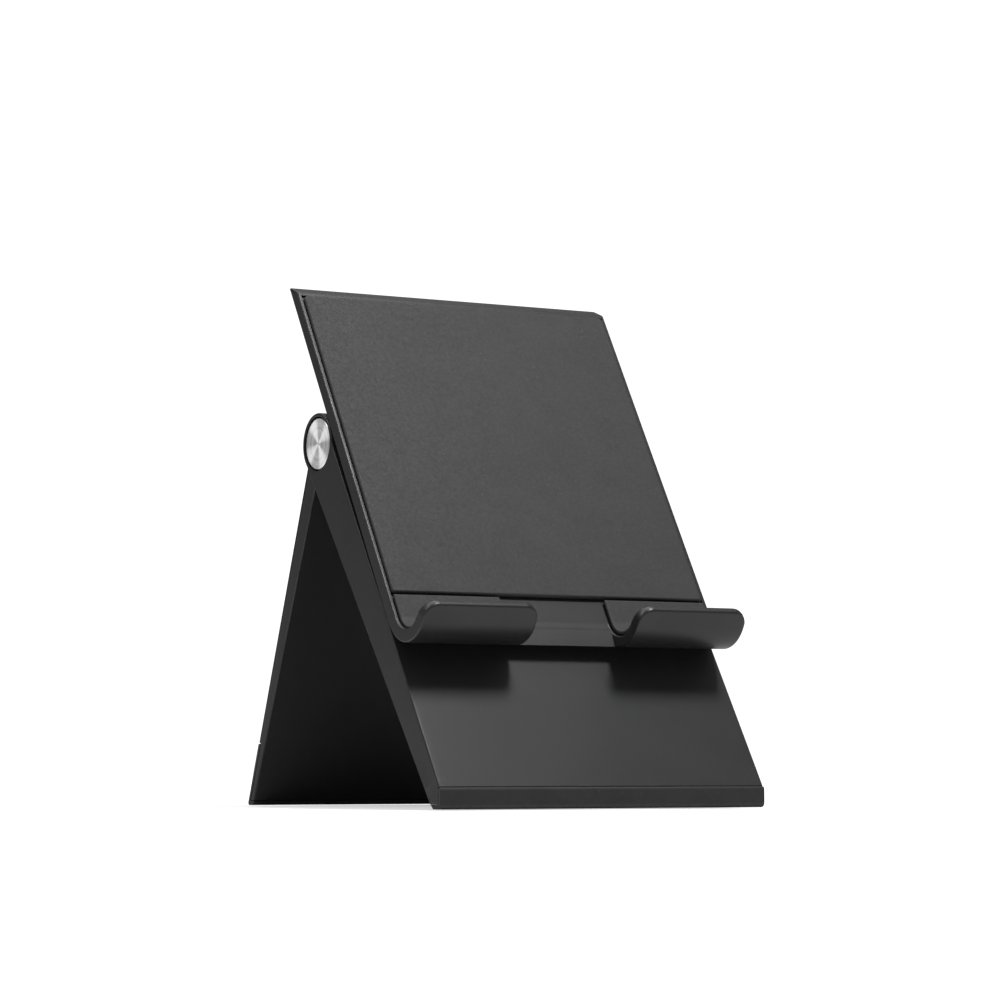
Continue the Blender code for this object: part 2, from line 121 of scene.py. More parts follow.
def arc(centre, radius, start, end, count):
    """An arc from start to end degrees, in count equal steps."""
    return on_circle(centre, radius, np.radians(np.linspace(start, end, count + 1)), np.zeros(count + 1))


CORNER_STEPS = 6


def rounded(before, at, after, radius):
    """The arc that touches both edges of a corner; its centre is radius / sin(half angle) up the bisector."""
    to_before, to_after = before - at, after - at
    to_before, to_after = to_before / np.linalg.norm(to_before), to_after / np.linalg.norm(to_after)
    half = np.arccos(np.clip(to_before @ to_after, -1.0, 1.0)) / 2
    bisector = to_before + to_after
    centre = at + bisector / np.linalg.norm(bisector) * radius / np.sin(half)
    first = at + to_before * radius / np.tan(half) - centre
    last = at + to_after * radius / np.tan(half) - centre
    start = np.arctan2(first[1], first[0])
    sweep = (np.arctan2(last[1], last[0]) - start + np.pi) % (2 * np.pi) - np.pi
    share = np.linspace(0.0, 1.0, CORNER_STEPS + 1)
    return on_circle(centre, radius, start + sweep * share, np.sin(np.pi * share))


def outline(*parts):
    """A closed side view. A part is an array of points, kept as they are, or a corner (y, z, radius)."""
    flat = [np.atleast_2d(part)[:, :2] for part in parts]
    made = []
    for i, part in enumerate(parts):
        if np.ndim(part) == 2:
            made.append(part)
        else:
            made.append(rounded(flat[i - 1][-1], flat[i][0], flat[(i + 1) % len(parts)][0], part[2]))
    return np.concatenate(made)


SHARPEST = 0.3       # smallest divisor of a mitre, so that a needle-sharp corner doesn't run away


def inset(side, depth):
    """An outline moved inwards by each depth, along the mitre (n + m) / (1 + n.m) of its normals n and m."""
    points = side[..., :2]
    ahead = np.roll(points, -1, -2) - points
    ahead = ahead / np.linalg.norm(ahead, axis=-1, keepdims=True)
    y, z = points[..., 0], points[..., 1]
    area = (y * np.roll(z, -1, -1) - z * np.roll(y, -1, -1)).sum(-1)
    normal = np.stack([ahead[..., 1], -ahead[..., 0]], -1) * np.sign(area)[..., None, None]
    other = np.roll(normal, 1, -2)
    mitre = (normal + other) / np.maximum(1.0 + (normal * other).sum(-1, keepdims=True), SHARPEST)
    return points - np.asarray(depth)[..., None] * mitre


# %% [markdown]
# ## Carrying an outline across the stand
#
# A side view carried along X gives a grid of rings. At both ends the ring shrinks along a quarter circle,
# which rounds the edge all the way round the end face. A Bevel modifier would do the same, but it stumbles
# where small edges meet, and a formula doesn't.

# %% Rings and closed shells
EDGE = 0.35          # radius of the moulded edges, in millimetres
HAIR = 1e-3          # two rings this close together make a step


def quarter(radius, steps=4):
    """A rounded edge as (how far the ring is drawn in, how far x has moved, how exposed it is)."""
    t = np.radians(np.linspace(0.0, 90.0, steps + 1))
    return radius * (1 - np.sin(t)), radius * (1 - np.cos(t)), np.sin(2 * t)


def with_x(points, x, edge):
    """Rings of (x, y, z, edge) from stacked outlines, one x for each ring."""
    return np.stack(np.broadcast_arrays(np.asarray(x)[:, None], points[..., 0], points[..., 1], edge), -1)


def plain_rings(side, low, high):
    """A side view carried straight across, with square ends that butt against other shells."""
    return with_x(side, [low, high], side[:, 2])


def and_back(*values):
    """Each array followed by itself reversed, for a piece with two ends alike."""
    return [np.concatenate([value, value[::-1]]) for value in values]


def carried(side, x_low, x_high, radius=EDGE):
    """Carries a side view from x_low to x_high and rounds the edges of both end faces."""
    depth, moved, exposed = quarter(radius)
    x = np.concatenate([x_low + moved, (x_high - moved)[::-1]])
    depth, exposed = and_back(depth, exposed)
    return with_x(inset(side, depth[:, None]), x, np.maximum(side[:, 2], exposed[:, None]))


def stepped_ends(reach, step):
    """Rings of a piece reach wide to each side: x, depth, exposure, and which ones lie within the step."""
    depth, moved, exposed = quarter(EDGE)
    half = np.concatenate([reach - moved, [step, step - HAIR]])
    x = np.concatenate([-half, half[::-1]])
    depth, exposed = and_back(np.append(depth, [0.0, 0.0]), np.append(exposed, [0.0, 0.0]))
    return x, depth, exposed, np.abs(x) < step - HAIR / 2


def fade_in(value, start, length):
    """0 up to start, 1 from start + length on, and a straight ramp between them."""
    return np.clip((value - start) / length, 0.0, 1.0)


def on_side(rings, side):
    """Rings drawn for the right side, mirrored to the left when side is -1."""
    return rings * np.array([side, 1.0, 1.0, 1.0])


def stood(rings, lean):
    """Rings drawn upright in millimetres, leaned about the axle and in metres."""
    points = leaned(rings[..., 1:3], lean)
    return np.concatenate([rings[..., :1] * MM, points * MM, rings[..., 3:]], -1)


def ring_faces(count, around, looped, first):
    """Quads between neighbouring rings; a looped shell joins its last ring to its first, others get caps."""
    index = first + np.arange(count * around).reshape(count, around)
    low, high = (index, np.roll(index, -1, 0)) if looped else (index[:-1], index[1:])
    quads = np.stack([low, high, np.roll(high, -1, 1), np.roll(low, -1, 1)], -1).reshape(-1, 4)
    return quads.tolist() + ([] if looped else [index[0].tolist(), index[-1].tolist()])


FLATTER = np.radians(34.0)     # faces that meet at a wider angle than this get a sharp edge


def build(name, body, slot, lean, shells, *stands_for):
    """One piece from closed shells, each a grid of upright rings and whether it loops."""
    points = np.concatenate([stood(rings, lean).reshape(-1, 4) for rings, _ in shells])
    faces, first = [], 0
    for rings, looped in shells:
        faces += ring_faces(*rings.shape[:2], looped, first)
        first += rings.shape[0] * rings.shape[1]
    mesh = bpy.data.meshes.new(name)
    mesh.from_pydata(points[:, :3].tolist(), [], faces)
    mesh.attributes.new("edge", "FLOAT", "POINT").data.foreach_set("value", points[:, 3].astype(np.float32))
    bm = bmesh.new()
    bm.from_mesh(mesh)
    bmesh.ops.recalc_face_normals(bm, faces=bm.faces)
    bm.to_mesh(mesh)
    bm.free()
    mesh.shade_smooth()
    mesh.set_sharp_from_angle(angle=FLATTER)
    mesh.materials.append(FINISH[slot])
    piece = bpy.data.objects.new(name, mesh)
    bpy.context.scene.collection.objects.link(piece)
    flat = piece.modifiers.new("flat faces stay flat", "WEIGHTED_NORMAL")
    flat.keep_sharp = True
    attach(piece, body)
    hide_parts(*stands_for)
    print(f"{name}: {len(mesh.polygons)} faces on {body}")
    return piece


# %% [markdown]
# ## Effects that several finishes share
#
# A finish is more than a colour. Four effects come back in the materials below, so each is a node group:
#
# - moulded grain, the fine spark-eroded texture that the mould leaves, with a slow change of tone from the
#   flow of the plastic;
# - rubbed edges, which breaks the exposed corners up into patches polished by handling;
# - settled dust, soft specks that silicone and rubber hold on to;
# - turning lines, the rings that a lathe or a spinning tool leaves round an axis.

# %% Helpers for nodes, which find their node tree from the sockets they are given
def new_group(name, inputs, outputs):
    """An empty shader group with float or vector inputs and float outputs, and its two end nodes."""
    tree = bpy.data.node_groups.new(name, "ShaderNodeTree")
    for socket, default in inputs.items():
        kind = "NodeSocketVector" if default is None else "NodeSocketFloat"
        made = tree.interface.new_socket(socket, in_out="INPUT", socket_type=kind)
        if default is not None:
            made.default_value = default
    for socket in outputs:
        tree.interface.new_socket(socket, in_out="OUTPUT", socket_type="NodeSocketFloat")
    return tree, tree.nodes.new("NodeGroupInput").outputs, tree.nodes.new("NodeGroupOutput").inputs


def node_by(socket, kind):
    """A new node in the tree that a socket belongs to."""
    return socket.id_data.nodes.new("ShaderNode" + kind)


def feed(source, socket):
    """Links a socket to another one, or sets it to a number or to red, green and blue."""
    if isinstance(source, tuple):
        socket.default_value = (*source, 1.0)
    elif isinstance(source, (int, float)):
        socket.default_value = source
    else:
        socket.id_data.links.new(source, socket)


def noise(vector, scale, detail=2.0, roughness=0.5):
    """A noise texture whose scale is a socket or a number of features per metre."""
    node = node_by(vector, "TexNoise")
    node.inputs["Detail"].default_value = detail
    node.inputs["Roughness"].default_value = roughness
    feed(vector, node.inputs["Vector"])
    feed(scale, node.inputs["Scale"])
    return node.outputs["Fac"]


def maths(operation, *values):
    """One Math node, fed by sockets or numbers."""
    node = node_by(next(value for value in values if hasattr(value, "id_data")), "Math")
    node.operation = operation
    for value, socket in zip(values, node.inputs):
        feed(value, socket)
    return node.outputs[0]


def spread(value, low, high, to_low, to_high):
    """Maps low..high onto to_low..to_high with soft shoulders."""
    node = node_by(value, "MapRange")
    node.interpolation_type = "SMOOTHSTEP"
    feed(value, node.inputs["Value"])
    for socket, number in zip(("From Min", "From Max", "To Min", "To Max"), (low, high, to_low, to_high)):
        feed(number, node.inputs[socket])
    return node.outputs["Result"]


# %% The shared groups
def moulded_grain():
    """Height from fine noise on top of a coarser one, tone from patches many times larger."""
    tree, given, wanted = new_group(
        "moulded_grain", {"Vector": None, "Grains": 3000.0, "Patches": 90.0}, ("Height", "Tone"))
    fine = noise(given["Vector"], given["Grains"], 3.0, 0.6)
    coarse = noise(given["Vector"], maths("MULTIPLY", given["Grains"], 0.31), 2.0)
    height = maths("MULTIPLY_ADD", coarse, 0.6, maths("MULTIPLY", fine, 0.4))
    patches = noise(given["Vector"], given["Patches"], 3.0)
    feed(height, wanted["Height"])
    feed(spread(patches, 0.3, 0.7, 0.0, 1.0), wanted["Tone"])
    return tree


def rubbed_edges():
    """Mask: the exposed corner times broken patches, so that the polish comes and goes along an edge."""
    tree, given, wanted = new_group(
        "rubbed_edges", {"Vector": None, "Edge": 0.0, "Breaks": 260.0, "Amount": 1.0}, ("Mask",))
    patches = spread(noise(given["Vector"], given["Breaks"], 4.0, 0.65), 0.38, 0.62, 0.25, 1.0)
    worn = maths("MULTIPLY", given["Edge"], patches)
    feed(maths("MULTIPLY", worn, given["Amount"]), wanted["Mask"])
    return tree


def settled_dust():
    """Mask: rare bright peaks of fine noise, held inside slow clouds."""
    tree, given, wanted = new_group(
        "settled_dust", {"Vector": None, "Specks": 1800.0, "Clouds": 70.0}, ("Mask",))
    specks = spread(noise(given["Vector"], given["Specks"], 1.0), 0.66, 0.74, 0.0, 1.0)
    clouds = spread(noise(given["Vector"], given["Clouds"], 2.0), 0.42, 0.68, 0.15, 1.0)
    feed(maths("MULTIPLY", specks, clouds), wanted["Mask"])
    return tree


def turning_lines():
    """Rings round X: noise read along the distance from the axis alone, so that it is alike all round."""
    tree, given, wanted = new_group(
        "turning_lines", {"Vector": None, "Lines": 6000.0}, ("Height", "Tone"))
    parts = node_by(given["Vector"], "SeparateXYZ")
    feed(given["Vector"], parts.inputs[0])
    across = maths("MULTIPLY", parts.outputs["Y"], parts.outputs["Y"])
    squares = maths("MULTIPLY_ADD", parts.outputs["Z"], parts.outputs["Z"], across)
    radius = maths("SQRT", squares)
    along = node_by(radius, "CombineXYZ")
    feed(radius, along.inputs["X"])
    feed(maths("MULTIPLY", parts.outputs["X"], 0.5), along.inputs["Y"])
    feed(noise(along.outputs[0], given["Lines"], 2.0, 0.7), wanted["Height"])
    slow = noise(along.outputs[0], maths("MULTIPLY", given["Lines"], 0.12), 2.0)
    feed(spread(slow, 0.3, 0.7, 0.0, 1.0), wanted["Tone"])
    return tree


GROUPS = {tree.name: tree for tree in (moulded_grain(), rubbed_edges(), settled_dust(), turning_lines())}
print("groups:", *GROUPS)


# %% [markdown]
# ## The finishes
#
# Black plastic is almost all reflection: its own colour is one or two per cent, and what one sees is the
# room, blurred by the texture. So these materials are very dark and do their work in roughness and bump.
# All of them read Object coordinates, in metres, which stay with a piece when its body moves.

# %% Helpers for materials
def new_material(name):
    """A material with its Principled shader, and the Object coordinates that its patterns read."""
    made = bpy.data.materials.new(name)
    made.use_nodes = True
    place = made.node_tree.nodes.new("ShaderNodeTexCoord").outputs["Object"]
    return made, made.node_tree.nodes["Principled BSDF"], place


def use(name, place, **sockets):
    """Places a shared group in a material with its own values."""
    node = node_by(place, "Group")
    node.node_tree = GROUPS[name]
    feed(place, node.inputs["Vector"])
    for socket, value in sockets.items():
        feed(value, node.inputs[socket])
    return node.outputs


def two_tone(mask, first, second):
    """Mixes two colours by a mask."""
    node = node_by(mask, "Mix")
    node.data_type = "RGBA"
    feed(first, node.inputs["A"])
    feed(second, node.inputs["B"])
    feed(mask, node.inputs["Factor"])
    return node.outputs["Result"]


def bump(shader, height, distance, strength):
    """A Bump node whose distance is the real height of the texture, in metres."""
    node = node_by(shader, "Bump")
    node.inputs["Distance"].default_value = distance
    node.inputs["Strength"].default_value = strength
    feed(height, node.inputs["Height"])
    feed(node.outputs["Normal"], shader.inputs["Normal"])


def coat(shader, colour, roughness, **fixed):
    """Feeds the shader its colour and roughness, and sets the values that are the same all over."""
    feed(colour, shader.inputs["Base Color"])
    feed(roughness, shader.inputs["Roughness"])
    for name, value in fixed.items():
        shader.inputs[name.replace("_", " ")].default_value = value


def exposed_edge(place):
    """The third number of every outline point, carried on the mesh."""
    node = node_by(place, "Attribute")
    node.attribute_name = "edge"
    return node.outputs["Fac"]


# %% Moulded plastic
def shell_plastic():
    """Charcoal plastic with a fine matt texture, a little glossier where its edges are rubbed."""
    made, shader, place = new_material("shell_plastic")
    grain = use("moulded_grain", place, Grains=3400.0, Patches=85.0)
    worn = use("rubbed_edges", place, Edge=exposed_edge(place), Breaks=240.0, Amount=0.8)["Mask"]
    dust = use("settled_dust", place, Specks=2300.0, Clouds=60.0)["Mask"]
    body = two_tone(grain["Tone"], (0.0085, 0.0085, 0.0090), (0.0110, 0.0110, 0.0116))
    body = two_tone(maths("MULTIPLY", dust, 0.04), body, (0.16, 0.155, 0.15))
    matt = spread(grain["Tone"], 0.0, 1.0, 0.46, 0.40)
    coat(shader, two_tone(worn, body, (0.022, 0.022, 0.0235)),
         maths("MULTIPLY_ADD", worn, -0.10, matt), Specular_IOR_Level=0.42)
    bump(shader, grain["Height"], 0.00006, 0.35)
    return made


# %% Silicone pads and rubber feet
def soft_finish(name, dark, light, grains, rough):
    """Silicone and rubber: duller than the plastic, slightly lighter, and it holds dust."""
    made, shader, place = new_material(name)
    grain = use("moulded_grain", place, Grains=grains, Patches=120.0)
    worn = use("rubbed_edges", place, Edge=exposed_edge(place), Breaks=320.0, Amount=0.5)["Mask"]
    dust = use("settled_dust", place, Specks=1500.0, Clouds=80.0)["Mask"]
    body = two_tone(grain["Tone"], dark, light)
    body = two_tone(maths("MULTIPLY", dust, 0.07), body, (0.22, 0.215, 0.205))
    coat(shader, two_tone(worn, body, tuple(1.6 * c for c in light)),
         spread(grain["Height"], 0.3, 0.7, rough - 0.05, rough + 0.07),
         Specular_IOR_Level=0.42, Sheen_Weight=0.06, Sheen_Roughness=0.5)
    bump(shader, grain["Height"], 0.00005, 0.30)
    return made


# %% Spun aluminium, bright steel, cast zinc and nylon
# painted highlight: the disc's colour is pale in four sectors round the axle, a painted reflection
HIGHLIGHT_SECTORS, HIGHLIGHT_TURN = 4.0, np.pi - 1.1      # pale sectors of a disc, and how far they are turned


def centred(place):
    """Object coordinates measured from the axle."""
    node = node_by(place, "VectorMath")
    node.operation = "SUBTRACT"
    node.inputs[1].default_value = (0.0, AXLE[0] * MM, AXLE[1] * MM)
    feed(place, node.inputs[0])
    return node.outputs[0]


def cap_aluminium():
    """Spun face: fine rings round the axle, four pale sectors painted into the colour as a painted highlight, and
    a highlight drawn out along the radius.
    """
    made, shader, place = new_material("cap_aluminium")
    middle = centred(place)
    rings = use("turning_lines", middle, Lines=9000.0)
    parts = node_by(place, "SeparateXYZ")
    feed(middle, parts.inputs[0])
    turn = maths("ARCTAN2", parts.outputs["Z"], parts.outputs["Y"])
    # painted highlight: the colour turns pale in four sectors round the axle and grey between them, a bright cross
    # painted in place of the metal's reflection
    highlight_wave = maths("COSINE", maths("MULTIPLY_ADD", turn, HIGHLIGHT_SECTORS, HIGHLIGHT_TURN))
    painted_highlight = spread(highlight_wave, -0.7, 0.9, 0.0, 1.0)
    pale = two_tone(rings["Tone"], (0.86, 0.86, 0.865), (0.94, 0.94, 0.945))
    grey = two_tone(rings["Tone"], (0.36, 0.36, 0.365), (0.48, 0.48, 0.485))
    coat(shader, two_tone(painted_highlight, grey, pale), spread(rings["Tone"], 0.0, 1.0, 0.34, 0.26),
         Metallic=1.0, Anisotropic=0.8)
    outwards = node_by(place, "Tangent")
    outwards.direction_type = "UV_MAP"
    outwards.uv_map = "round_axle"
    feed(outwards.outputs[0], shader.inputs["Tangent"])
    bump(shader, rings["Height"], 0.00001, 0.30)
    return made


def hinge_steel():
    """Turned steel with fine tool rings and a faint straw tint in its oil film."""
    made, shader, place = new_material("hinge_steel")
    rings = use("turning_lines", centred(place), Lines=5200.0)
    film = use("moulded_grain", place, Grains=1400.0, Patches=260.0)
    body = two_tone(film["Tone"], (0.50, 0.49, 0.47), (0.60, 0.59, 0.56))
    coat(shader, body, spread(rings["Tone"], 0.0, 1.0, 0.22, 0.36), Metallic=1.0)
    bump(shader, rings["Height"], 0.00001, 0.35)
    return made


def bracket_zinc():
    """Die-cast zinc under a black coat: satin, with orange peel, and grey metal where the coat is chipped."""
    made, shader, place = new_material("bracket_zinc")
    cast = use("moulded_grain", place, Grains=1500.0, Patches=330.0)
    chips = use("settled_dust", place, Specks=700.0, Clouds=160.0)["Mask"]
    body = two_tone(cast["Tone"], (0.020, 0.020, 0.021), (0.032, 0.032, 0.033))
    coat(shader, two_tone(chips, body, (0.34, 0.34, 0.35)),
         spread(cast["Height"], 0.35, 0.65, 0.36, 0.50))
    feed(chips, shader.inputs["Metallic"])
    bump(shader, cast["Height"], 0.00006, 0.5)
    return made


def hinge_nylon():
    """Natural nylon, milky, with a soft waxy shine."""
    made, shader, place = new_material("hinge_nylon")
    grain = use("moulded_grain", place, Grains=2000.0, Patches=300.0)
    body = two_tone(grain["Tone"], (0.60, 0.58, 0.51), (0.70, 0.68, 0.61))
    coat(shader, body, spread(grain["Height"], 0.3, 0.7, 0.38, 0.5),
         Subsurface_Weight=0.15, Subsurface_Radius=(0.001, 0.0008, 0.0006))
    bump(shader, grain["Height"], 0.00003, 0.3)
    return made


FINISH = {
    "shell_plastic": shell_plastic(),
    "pad_silicone": soft_finish("pad_silicone", (0.013, 0.013, 0.014), (0.017, 0.017, 0.018), 4200.0, 0.60),
    "foot_rubber": soft_finish("foot_rubber", (0.010, 0.010, 0.0105), (0.014, 0.014, 0.0145), 2600.0, 0.54),
    "cap_aluminium": cap_aluminium(), "hinge_steel": hinge_steel(), "hinge_nylon": hinge_nylon(),
    "bracket_zinc": bracket_zinc()}
print("finishes:", *FINISH)


# %% [markdown]
# ## The cradle
#
# The cradle is one moulding: a flat plate, bevelled to a thin edge at the top, whose foot bends forward
# into the hook. A slot in the middle of the hook lets a cable through. Its shells meet along the line where
# the bend begins: the plate across the whole width, a hook on each side of the slot, and the short tail of
# the plate behind the slot. Heights are measured up the plate from the axle.

# %% Sizes of the cradle
PLATE_REAR, PLATE_FRONT = -6.85, -9.65
PLATE_TOP, BEVEL, LAND = 36.4, 3.0, 0.4
RECESS_FLOOR, RECESS_TOP, RECESS_REACH = -9.15, 32.6, 38.1
RECESS_DEEP = 0.5
BEND_START = -50.5
BEND_OUT, BEND_IN = 8.1, 5.3
BEND_CENTRE = np.array([PLATE_REAR - BEND_OUT, BEND_START])
BEND_TURN, RECESS_TURN = 119.0, 111.0
LIP, LIP_THIN, LIP_CORNER = 4.0, 5.9, 3.2      # length, inner radius at the tip, radius of the lip's corners
LIP_ROLL = 0.72     # height of the rounded tip
SLOT = 12.2


def plate_rings():
    """The plate: the recess for the pad is a change of the front points' y between two rings at one x."""
    x, depth, exposed, recessed = stepped_ends(HALF_WIDTH, RECESS_REACH)
    plate = outline((PLATE_REAR, PLATE_TOP, 0.12), (PLATE_REAR - LAND, PLATE_TOP, 0.2),
                    (PLATE_FRONT, PLATE_TOP - BEVEL, 1.2), (PLATE_FRONT, BEND_START, 0.01),
                    (PLATE_REAR, BEND_START, 0.01))
    upper = plate[plate[:, 1] > BEND_START + 1.0]
    lower = np.array([[PLATE_FRONT, RECESS_TOP, 0.0], [PLATE_FRONT, RECESS_TOP - HAIR, 0.0],
                      [PLATE_FRONT, BEND_START, 0.0], [PLATE_REAR, BEND_START, 0.0]])
    side = np.concatenate([upper, lower])
    above_bend = side[:, 1] > BEND_START + 0.1
    sides = np.stack([side] * len(x))
    at_floor = slice(len(upper) + 1, len(upper) + 3)
    sides[:, at_floor, 0] = np.where(recessed, RECESS_FLOOR, PLATE_FRONT)[:, None]
    points = inset(sides, depth[:, None] * above_bend)
    return with_x(points, x, np.maximum(side[:, 2], exposed[:, None]))


def on_bend(radius, turn, beyond=0.0):
    """A point of the hook: turn degrees round the bend, then straight on by beyond along its tangent."""
    t = np.radians(turn)
    y = BEND_CENTRE[0] + radius * np.cos(t) - beyond * np.sin(t)
    z = BEND_CENTRE[1] - radius * np.sin(t) - beyond * np.cos(t)
    return np.stack(np.broadcast_arrays(y, z), -1)


def lip_length(x):
    """The lip is shorter near its two ends by r - sqrt(r^2 - (r - d)^2), which rounds its corners."""
    d = np.clip(np.minimum(np.abs(x) - SLOT, HALF_WIDTH - np.abs(x)), 0.0, LIP_CORNER)
    return LIP - (LIP_CORNER - np.sqrt(LIP_CORNER**2 - (LIP_CORNER - d) ** 2))


def hook_rings(side):
    """One hook: the bend's outside, a rounded tip and the bend's inside, for every station along x."""
    depth, moved, exposed = quarter(EDGE)
    corner = LIP_CORNER * (1 - np.cos(np.radians(np.linspace(18.0, 90.0, 9))))
    from_end = np.concatenate([moved, corner[corner > EDGE + 0.02]])
    outward = np.sort(np.concatenate([HALF_WIDTH - from_end, [RECESS_REACH, RECESS_REACH - HAIR]]))
    x = np.concatenate([SLOT + from_end, outward])
    near_end = np.minimum(x - SLOT, HALF_WIDTH - x)
    depth = np.interp(near_end, moved, depth)
    exposed = np.interp(near_end, moved, exposed)
    turns = np.linspace(0.0, BEND_TURN, 31)
    outer = np.stack([on_bend(BEND_OUT, turns)] * len(x))
    tip = np.radians(np.linspace(0.0, 180.0, 9))
    length = lip_length(x)[:, None]
    thin = BEND_IN + (LIP_THIN - BEND_IN) * length / LIP
    middle, thick = (BEND_OUT + thin) / 2, (BEND_OUT - thin) / 2
    lip = on_bend(middle + thick * np.cos(tip), BEND_TURN, length + LIP_ROLL * (np.sin(tip) - 1.0))
    back = turns[-2::-1]
    recessed = (x[:, None] < RECESS_REACH - HAIR / 2) & (back <= RECESS_TURN)
    inner = on_bend(np.where(recessed, BEND_IN + RECESS_DEEP, BEND_IN), back)
    along = np.concatenate([turns, np.full(len(tip), BEND_TURN), back])
    hold = fade_in(along, 0.0, 10.0)      # the bend's start butts against the plate, so it stays square
    edge = np.concatenate([0 * turns, np.sin(tip), 0 * back])
    points = inset(np.concatenate([outer, lip, inner], 1), depth[:, None] * hold)
    return on_side(with_x(points, x, np.maximum(edge, exposed[:, None] * hold)), side)


def tail_rings():
    """What the slot leaves of the bend: bounded behind by the bend and in front by the plate's face."""
    end = np.degrees(np.arccos((PLATE_FRONT - BEND_CENTRE[0]) / BEND_OUT))
    step = np.degrees(np.arccos((PLATE_FRONT - BEND_CENTRE[0]) / (BEND_IN + RECESS_DEEP)))
    behind = on_bend(BEND_OUT, np.linspace(0.0, end, 14))
    front = on_bend(BEND_IN + RECESS_DEEP, np.linspace(step, 0.0, 7))
    return plain_rings(np.pad(np.concatenate([behind, front]), ((0, 0), (0, 1))), -SLOT, SLOT)


# %% Build the cradle
build("cradle_shell", "cradle_body", "shell_plastic", RECLINE,
      [(plate_rings(), False), (hook_rings(-1.0), False), (hook_rings(1.0), False), (tail_rings(), False)],
      "cradle")


# %% [markdown]
# ## The silicone pads
#
# Thin silicone sheets keep the phone from sliding. They are moulded flat, so they are level over their
# whole area and only roll off at the rim. The back pad is a rounded rectangle drawn in by a quarter circle
# as it rises from the plate; a hook pad is a strip bent round the trough, carried across like the hook
# itself.

# %% Back pad
PAD_BACK, PAD_FACE = -9.45, -10.25
PAD_TOP, PAD_FOOT, PAD_REACH = 32.3, -44.6, 37.8
PAD_CORNER, PAD_ROLL = 1.2, 0.45


def back_pad_rings():
    """A rounded rectangle in x and z; the front rim rolls off over PAD_ROLL, the back stays square."""
    face = outline((-PAD_REACH, PAD_FOOT, 0.6), (PAD_REACH, PAD_FOOT, 0.6),
                   (PAD_REACH, PAD_TOP, PAD_CORNER), (-PAD_REACH, PAD_TOP, PAD_CORNER))
    depth, moved, exposed = quarter(PAD_ROLL, 5)
    y = np.concatenate([[PAD_BACK], (PAD_FACE + moved)[::-1]])
    depth, exposed = np.append([0.0], depth[::-1]), np.append([0.0], exposed[::-1])
    points = inset(face, depth[:, None])
    return np.stack(np.broadcast_arrays(points[..., 0], y[:, None], points[..., 1], exposed[:, None]), -1)


back_pad = build("back_pad_sheet", "cradle_body", "pad_silicone", RECLINE, [(back_pad_rings(), False)],
                 "back_pad")

# %% Hook pads
HOOK_PAD_OUT, HOOK_PAD_IN, HOOK_PAD_TURN = 5.5, 4.7, 107.0
HOOK_PAD_TOP, HOOK_PAD_GAP, HOOK_PAD_ROLL = -45.1, 0.6, 0.3


def hook_pad_rings(side):
    """A strip of one thickness: straight behind the phone, then round the trough, with rounded ends."""
    turns = np.linspace(0.0, HOOK_PAD_TURN, 25)
    middle, half = (HOOK_PAD_OUT + HOOK_PAD_IN) / 2, (HOOK_PAD_OUT - HOOK_PAD_IN) / 2
    rim = np.radians(np.linspace(0.0, 180.0, 7))
    end = on_bend(middle + half * np.cos(rim), HOOK_PAD_TURN, -half + half * np.sin(rim))
    top = on_bend(middle - half * np.cos(rim), 0.0, BEND_START - HOOK_PAD_TOP + half - half * np.sin(rim))
    flat = np.concatenate([on_bend(HOOK_PAD_OUT, turns[:-1]), end, on_bend(HOOK_PAD_IN, turns[-2::-1]), top])
    edge = np.concatenate([0 * turns[1:], np.sin(rim), 0 * turns[1:], np.sin(rim)])
    strip = np.concatenate([flat, edge[:, None]], -1)
    low, high = sorted((side * (SLOT + HOOK_PAD_GAP), side * PAD_REACH))
    return carried(strip, low, high, HOOK_PAD_ROLL)


for label, side in SIDES.items():
    pad = build(f"hook_pad_{label}_sheet", "cradle_body", "pad_silicone", RECLINE,
                [(hook_pad_rings(side), False)], f"hook_pad_{label}")


# %% [markdown]
# ## The front leg
#
# The front leg is a tray that opens to the rear. Its two cheeks are wedges with a round head for the axle,
# and between them runs the front wall, which thickens into a solid block at the foot. Each cheek is a
# single looped surface, like a very flat ring: from the bore, across the boss and the inner face, over the
# edge, back across the outer face, and down through the disc's seat and the nut's pocket to the bore again.
# All its rings use the same angles round the axle, so the round seat and the long wedge share one grid.
# Those rays would meet the small corners of the foot too slantwise, so the cheek ends at a straight cut
# just above it, and the foot is a shell of its own.

# %% Sizes of the front leg
FACE, WALL = -5.3, 2.0
HEAD, BOSS = 6.55, 6.45
REAR_EDGE, WEDGE = 6.47, 4.2
CHEEK_OUT, BOSS_FROM = HALF_WIDTH, 32.8
CHEEK_IN = CHEEK_OUT - WALL
WALL_TOP, TRAY_FOOT = -7.4, -86.2
BORE, POCKET, SEAT = 2.3, 4.4, 5.8
POCKET_FLOOR, SEAT_FLOOR = 34.3, 37.4
SOLE, TOE = 0.95, -53.5              # height of the leg's own sole, y of the upright toe from the axle
HEEL_HEIGHT, HEEL_Y = 1.8, -50.4     # the heel is cut off from this height, and the cut meets the floor here
STRIP_TOP = at_height(FACE, 4.4, FRONT_LEAN)[1]
STRIP_GAP = 0.08                     # between the strip's top and the step above it
REBATE = FACE + 0.85
CUT = TRAY_FOOT - 0.8                # the cheeks end here and the foot goes on


def rear_edge(z):
    """The cheek's rear edge leans forward from the face by the wedge's angle."""
    return REAR_EDGE / np.cos(np.radians(WEDGE)) + z * np.tan(np.radians(WEDGE))


def above_toe(y, toe):
    """The point of the leg's drawing with this y that stands plumb above a place on the floor."""
    turn = np.radians(FRONT_LEAN)
    return np.array([y, (y * np.cos(turn) - toe) / np.sin(turn)])


